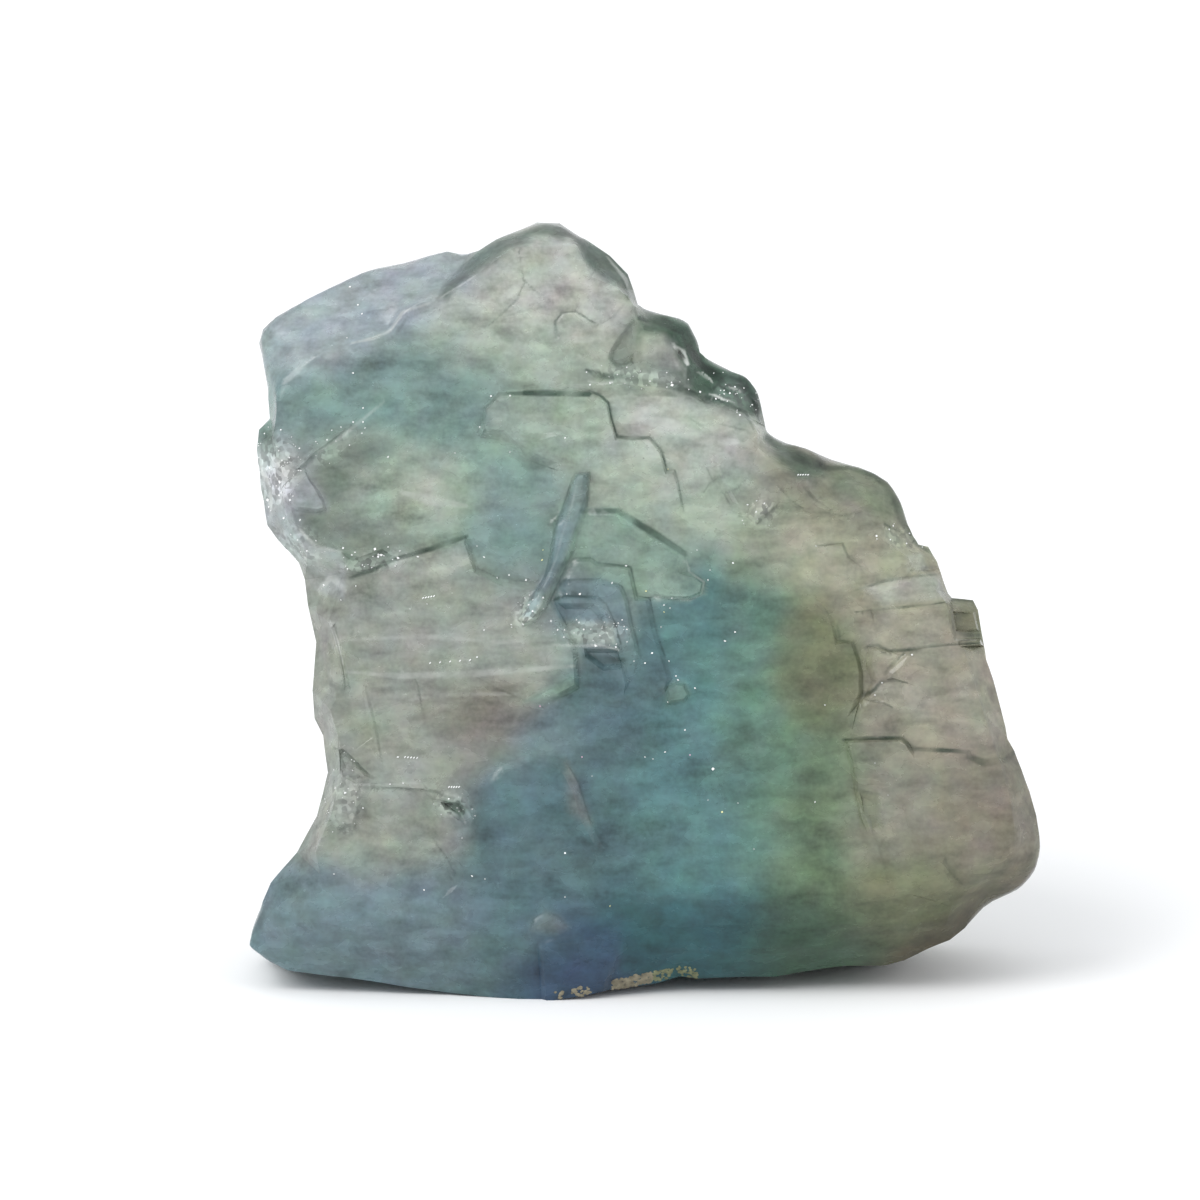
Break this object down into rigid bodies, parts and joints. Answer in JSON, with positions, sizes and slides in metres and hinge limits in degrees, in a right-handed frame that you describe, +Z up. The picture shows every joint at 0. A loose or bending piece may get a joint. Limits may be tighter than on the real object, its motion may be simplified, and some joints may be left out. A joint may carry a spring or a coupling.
{
  "type": "barite crystal",
  "caption": "Thick tabular barite crystal with stepped growth terraces, translucent blue-green, standing on its broken base.",
  "frame": {"origin": "under the middle of the crystal's box, at the level of its flat base", "axes": "+Z up, the broad terraced front faces -Y and leans back by 12 degrees, +X to the right of a viewer in front"},
  "size_m": [0.0516, 0.0222, 0.0494],
  "materials": {
    "barite": "glassy on the terraces, frosty where it broke"
  },
  "bodies": {
    "root": {"barite_crystal": "barite"}
  },
  "joints": []
}
